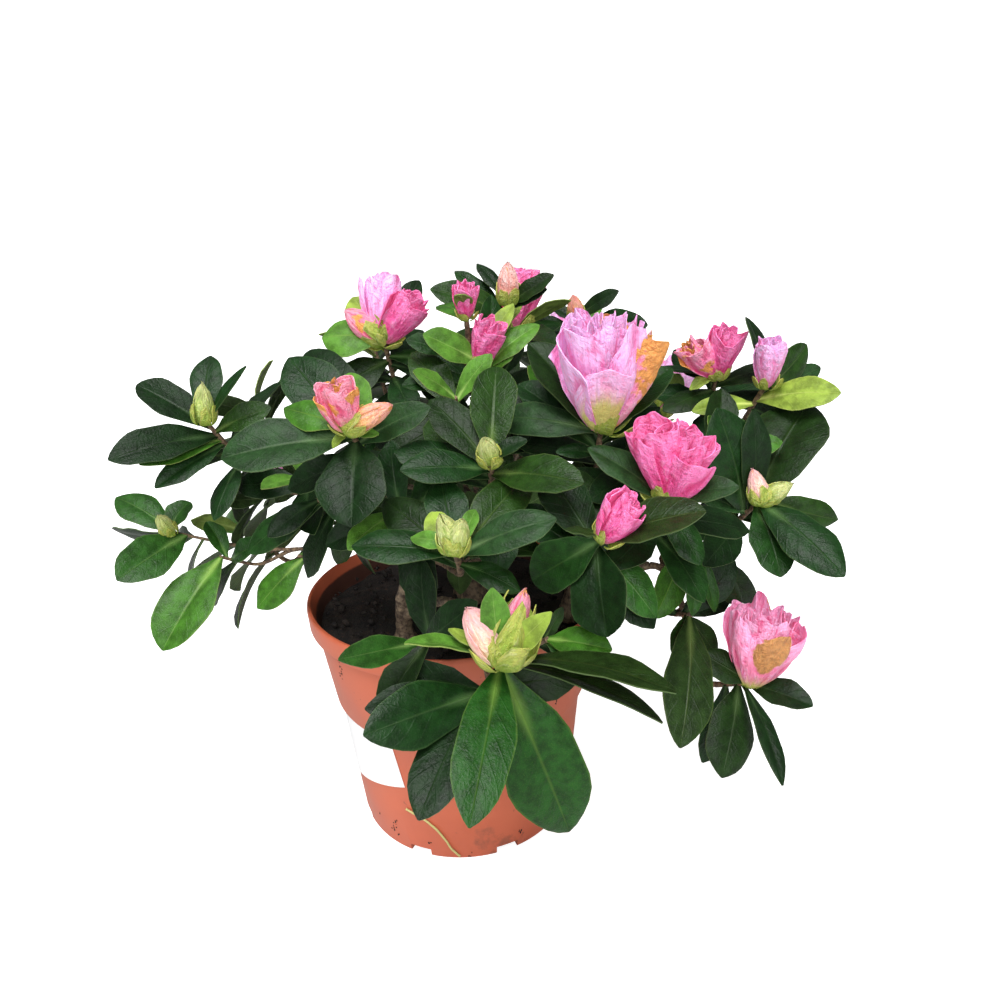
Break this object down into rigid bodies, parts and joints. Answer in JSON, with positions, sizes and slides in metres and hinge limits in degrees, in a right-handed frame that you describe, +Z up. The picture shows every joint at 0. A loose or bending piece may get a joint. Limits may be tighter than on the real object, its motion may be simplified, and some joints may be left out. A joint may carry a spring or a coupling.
{
  "type": "potted azalea shrub",
  "caption": "Low, wide flowering azalea in a round plastic nursery pot, with leafy shoots, buds and double pink blossoms on boughs that spread over the rim.",
  "frame": {"origin": "centre of the pot's flat underside, on the surface it stands on", "axes": "+Z up along the pot's axis, -Y towards the plant's front, +X to the front view's right"},
  "size_m": [0.2757, 0.2504, 0.2219],
  "materials": {
    "pot": "matte moulded plastic",
    "compost": "damp crumbly peat",
    "bark": "thin rough bark",
    "foliage": "satin leaf"
  },
  "bodies": {
    "root": {"bough_back_1": "bark", "bough_back_2": "bark", "bough_back_3": "bark", "bough_back_4": "bark", "bough_back_5": "bark", "bough_centre_right": "bark", "bough_front_low": "bark", "bough_front_middle": "bark", "bough_front_right": "bark", "bough_left": "bark", "bough_left_front": "bark", "bough_left_low": "bark", "bough_right": "bark", "bough_right_high": "bark", "bough_right_low": "bark", "bough_top": "bark", "bough_top_left": "bark", "bough_top_right": "bark", "compost": "compost", "foliage_back_1": "foliage", "foliage_back_2": "foliage", "foliage_back_3": "foliage", "foliage_back_4": "foliage", "foliage_back_5": "foliage", "foliage_centre_right": "foliage", "foliage_front_low": "foliage", "foliage_front_middle": "foliage", "foliage_front_right": "foliage", "foliage_left": "foliage", "foliage_left_front": "foliage", "foliage_left_low": "foliage", "foliage_right": "foliage", "foliage_right_high": "foliage", "foliage_right_low": "foliage", "foliage_top": "foliage", "foliage_top_left": "foliage", "foliage_top_right": "foliage", "pot": "pot", "stem_left": "bark", "stem_right": "bark", "trunk": "bark"}
  },
  "joints": []
}
